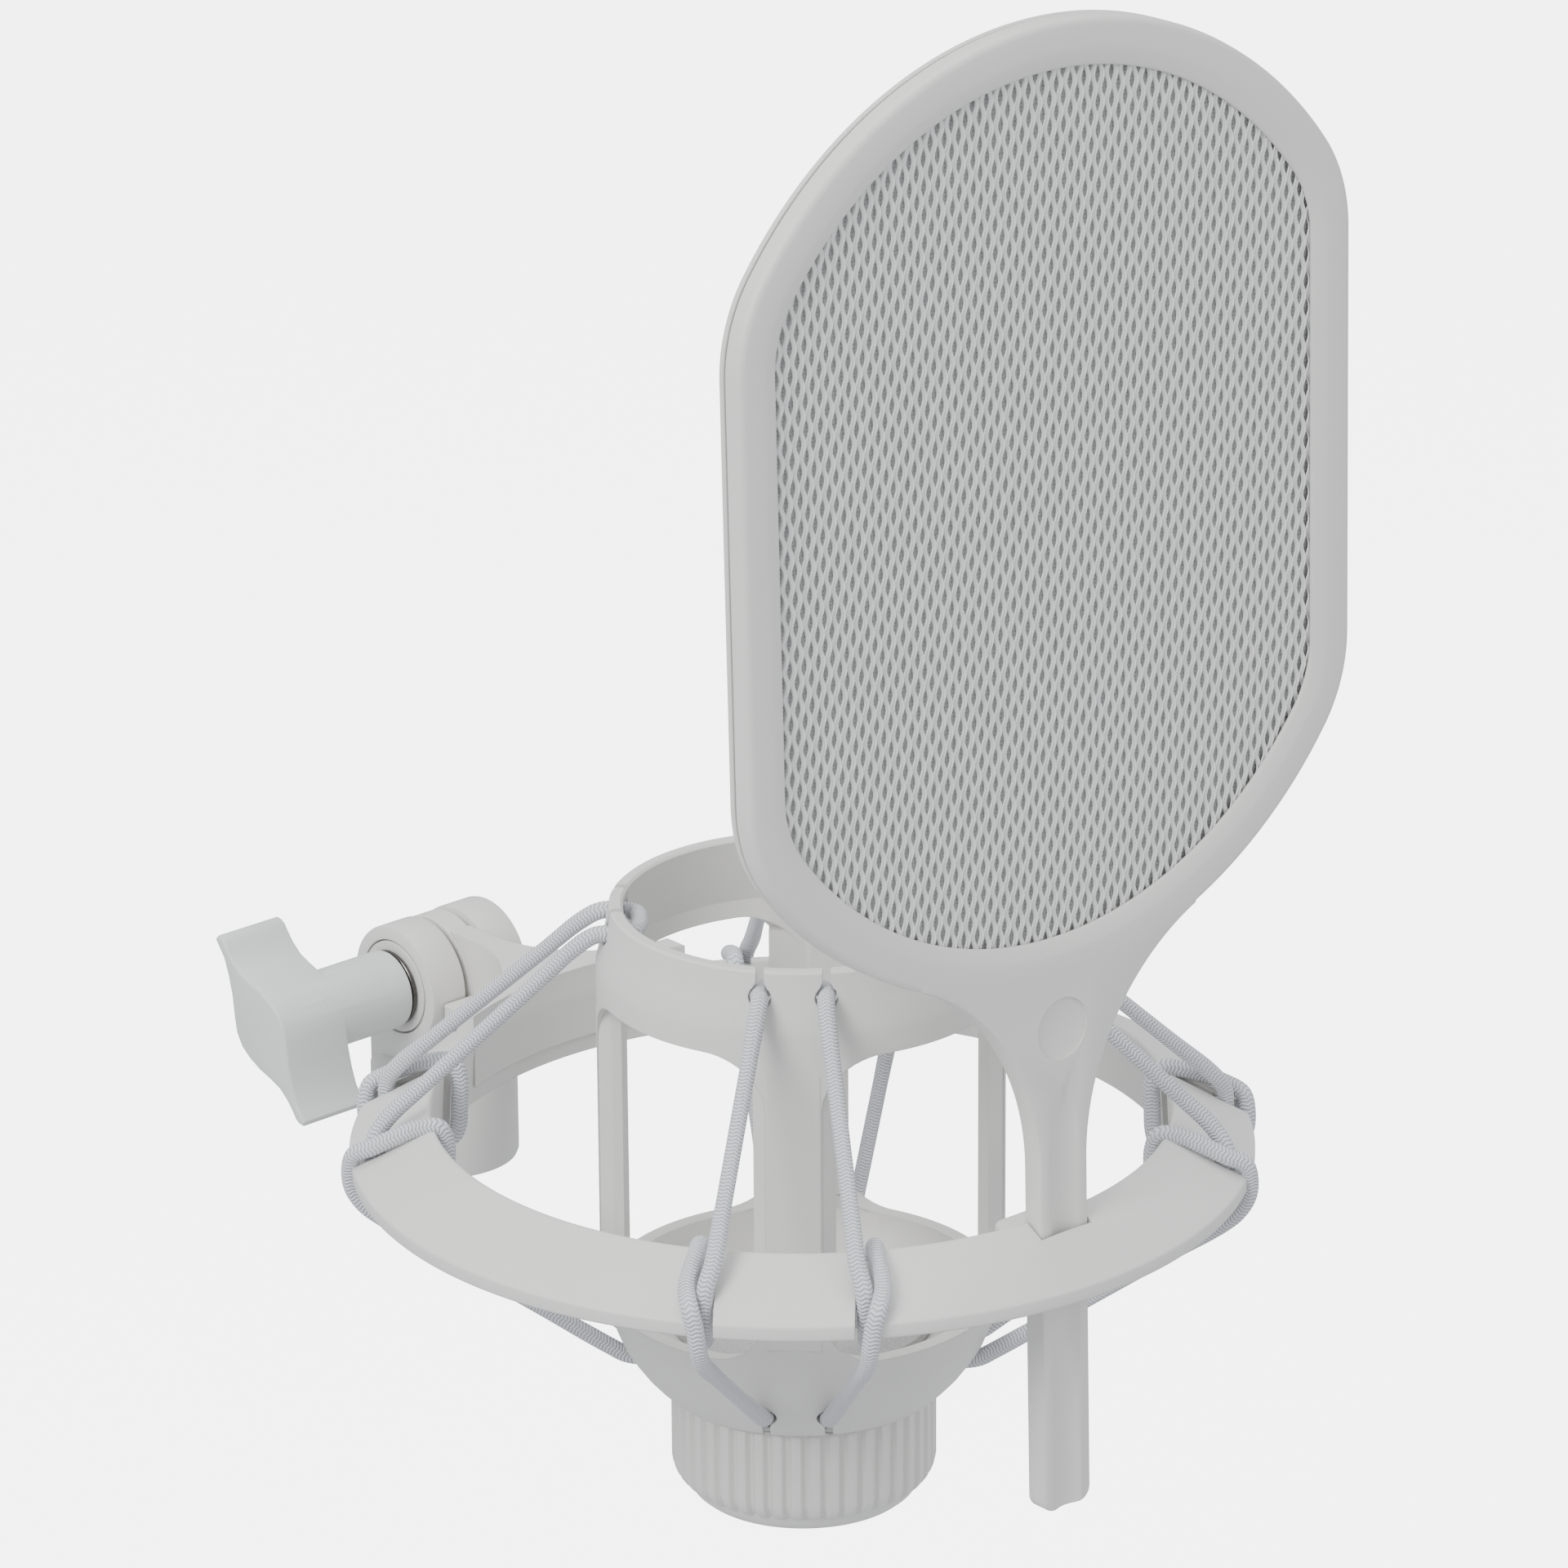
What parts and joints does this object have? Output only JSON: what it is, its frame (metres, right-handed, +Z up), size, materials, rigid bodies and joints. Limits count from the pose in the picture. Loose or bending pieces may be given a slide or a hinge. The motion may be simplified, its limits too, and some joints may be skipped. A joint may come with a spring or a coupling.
{
  "type": "microphone shock mount with pop filter",
  "caption": "Elastic suspension microphone cradle in a swivelling ring, with a slide-in mesh pop filter and a threaded stand socket.",
  "frame": {"origin": "centre of the stand socket's mouth, on its bottom face", "axes": "+Z up along the stand and the microphone, +X along the swivel's axis away from the knob, -Y from the swivel towards the ring and the pop filter"},
  "size_m": [0.14, 0.17, 0.2486],
  "materials": {
    "white_plastic": "fine matte moulded plastic, warm white",
    "knob_plastic": "smooth satin moulded plastic, cool white",
    "filter_mesh": "white coated expanded mesh, satin",
    "screen": "fine woven screen",
    "cord": "braided textile sleeve over elastic, slight sheen",
    "pad": "matte elastomer",
    "dark_steel": "blackened steel",
    "steel": "zinc plated steel",
    "brass": "machined brass",
    "washer_plastic": "natural low-friction plastic"
  },
  "bodies": {
    "stand_adapter": {"stand_adapter": "white_plastic", "thread_insert": "brass", "clamp_nut": "steel", "end_cap": "white_plastic", "ear_bush": "white_plastic", "friction_washer_near": "washer_plastic", "friction_washer_far": "washer_plastic"},
    "knob": {"knob": "knob_plastic", "clamp_screw": "steel", "knob_washer": "dark_steel"},
    "ring": {"outer_ring": "white_plastic"},
    "cradle": {"cradle": "white_plastic", "base_pad": "pad", "nut_snap_ring": "steel", "cord_front_left": "cord", "cord_front_right": "cord", "cord_rear_left": "cord", "cord_rear_right": "cord"},
    "mic_nut": {"mic_nut": "white_plastic"},
    "filter": {"filter_front_frame": "white_plastic", "filter_rear_frame": "white_plastic", "filter_front_mesh": "filter_mesh", "filter_screen": "screen", "filter_rear_mesh": "filter_mesh"}
  },
  "joints": [
    {"name": "knob_turn", "type": "hinge", "parent": "stand_adapter", "child": "knob", "pos_m": [0, 0, 0.032], "axis": [1, 0, 0], "continuous": true},
    {"name": "swivel_tilt", "type": "hinge", "parent": "stand_adapter", "child": "ring", "pos_m": [0, 0, 0.032], "axis": [1, 0, 0], "range_deg": [-180, 20]},
    {"name": "cradle_float", "type": "slide", "parent": "ring", "child": "cradle", "axis": [0, 0, 1], "range_m": [-0.003, 0.003], "stiffness_N_per_m": 1500, "springref_m": 0.0004, "deforming": ["cord_front_left", "cord_front_right", "cord_rear_left", "cord_rear_right"]},
    {"name": "nut_turn", "type": "hinge", "parent": "cradle", "child": "mic_nut", "pos_m": [0, -0.088, -0.0186], "axis": [0, 0, 1], "continuous": true},
    {"name": "filter_slide", "type": "slide", "parent": "ring", "child": "filter", "axis": [0.0006, 0.0244, 0.9997], "range_m": [-0.013, 0.026]}
  ]
}
